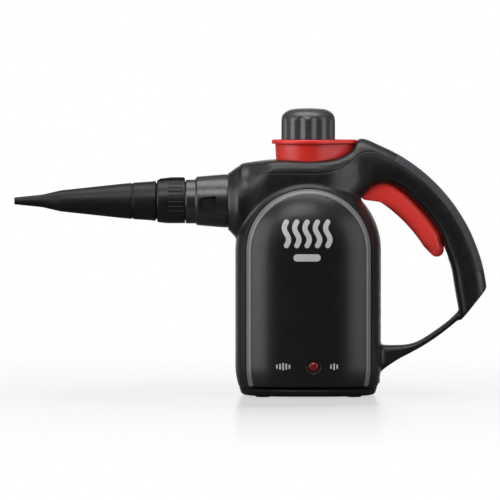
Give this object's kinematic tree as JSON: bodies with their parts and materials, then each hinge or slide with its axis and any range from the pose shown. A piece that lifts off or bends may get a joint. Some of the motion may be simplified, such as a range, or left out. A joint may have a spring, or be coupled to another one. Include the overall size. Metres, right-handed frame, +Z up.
{
  "type": "handheld steam cleaner",
  "caption": "Handheld steam cleaner: arched body with a heated boiler, safety filler cap, looped handle with steam trigger, and a tapered detachable nozzle.",
  "frame": {"origin": "middle of the whole length and width, on the ground under the rubber feet", "axes": "+X from the nozzle's tip towards the handle, +Y towards the right-hand side panel, +Z up"},
  "size_m": [0.397, 0.108, 0.2415],
  "materials": {
    "black_plastic": "fine matt texture",
    "gloss_plastic": "polished",
    "dark_plastic": "satin",
    "red_plastic": "satin gloss",
    "soft_grip": "soft-touch, matt",
    "rubber": "matt",
    "brass": "turned",
    "copper": "drawn",
    "steel": "zinc-plated",
    "spring_steel": "drawn wire",
    "aluminium": "die-cast",
    "glass_wool": "felted",
    "lens_red": "clear red",
    "ceramic": "matt"
  },
  "bodies": {
    "body": {"housing_left": "black_plastic", "housing_right": "black_plastic", "side_panel_left": "gloss_plastic", "side_panel_right": "gloss_plastic", "base_cover": "dark_plastic", "spout_collar": "dark_plastic", "filler_collar": "red_plastic", "grip_cover": "soft_grip", "rubber_foot_1": "rubber", "rubber_foot_2": "rubber", "rubber_foot_3": "rubber", "rubber_foot_4": "rubber", "cord_gland": "rubber", "boiler_gasket": "rubber", "stem_seal": "rubber", "nozzle_seal": "rubber", "filler_neck": "brass", "valve_body": "brass", "steam_outlet": "brass", "steam_tube": "copper", "lead_live": "copper", "lead_link": "copper", "lead_neutral": "copper", "housing_screw_handle": "steel", "housing_screw_front": "steel", "housing_screw_rear": "steel", "housing_screw_top": "steel", "bracket_screw_1": "steel", "bracket_screw_2": "steel", "boiler_bracket": "steel", "boiler_bolt_1": "steel", "boiler_bolt_2": "steel", "boiler_bolt_3": "steel", "boiler_bolt_4": "steel", "heater_element": "steel", "trigger_pin": "steel", "valve_spring": "spring_steel", "boiler_lower": "aluminium", "boiler_upper": "aluminium", "insulation_jacket": "glass_wool", "indicator_lens": "lens_red", "thermostat": "ceramic", "thermal_cutout": "ceramic", "terminal_block": "ceramic", "indicator_lamp": "ceramic"},
    "trigger": {"trigger": "red_plastic"},
    "valve_stem": {"valve_stem": "steel"},
    "cap_seal": {"cap_seal": "rubber"},
    "cap_plug": {"cap_plug": "brass", "relief_screw": "brass", "cap_spring": "spring_steel", "relief_spring": "spring_steel"},
    "cap_knob": {"cap_knob": "dark_plastic"},
    "relief_poppet": {"relief_poppet": "brass"},
    "nozzle": {"nozzle_cone": "dark_plastic"},
    "lock_ring": {"lock_ring": "dark_plastic"}
  },
  "joints": [
    {"name": "trigger_pull", "type": "hinge", "parent": "body", "child": "trigger", "pos_m": [0.10221, 0, 0.1815], "axis": [0, -1, 0], "range_deg": [0, 7], "stiffness_Nm_per_rad": 1.5, "springref_deg": -8.59},
    {"name": "valve_stroke", "type": "slide", "parent": "body", "child": "valve_stem", "axis": [0, 0, -1], "range_m": [0, 0.0036], "deforming": ["valve_spring"]},
    {"name": "cap_lift", "type": "slide", "parent": "body", "child": "cap_seal", "axis": [0, 0, 1], "range_m": [0, 0.015]},
    {"name": "cap_turn", "type": "hinge", "parent": "cap_seal", "child": "cap_plug", "pos_m": [0.04841, 0, 0.204], "axis": [0, 0, 1], "range_deg": [0, 1080]},
    {"name": "cap_press", "type": "slide", "parent": "cap_plug", "child": "cap_knob", "axis": [0, 0, -1], "range_m": [0, 0.003], "stiffness_N_per_m": 2500, "springref_m": -0.004, "deforming": ["cap_spring"]},
    {"name": "relief_lift", "type": "slide", "parent": "cap_plug", "child": "relief_poppet", "axis": [0, 0, 1], "range_m": [0, 0.0015], "stiffness_N_per_m": 1500, "springref_m": -0.0024, "deforming": ["relief_spring"]},
    {"name": "nozzle_pull", "type": "slide", "parent": "body", "child": "nozzle", "axis": [-1, 0, 0], "range_m": [0, 0.03]},
    {"name": "lock_ring_turn", "type": "hinge", "parent": "nozzle", "child": "lock_ring", "pos_m": [-0.06659, 0, 0.1634], "axis": [1, 0, 0], "range_deg": [0, 30]}
  ],
  "couplings": [
    {"joint": "valve_stroke", "follows": "trigger_pull", "m_per_rad": 0.0288},
    {"joint": "cap_turn", "follows": "cap_lift", "rad_per_m": 1256.6}
  ]
}
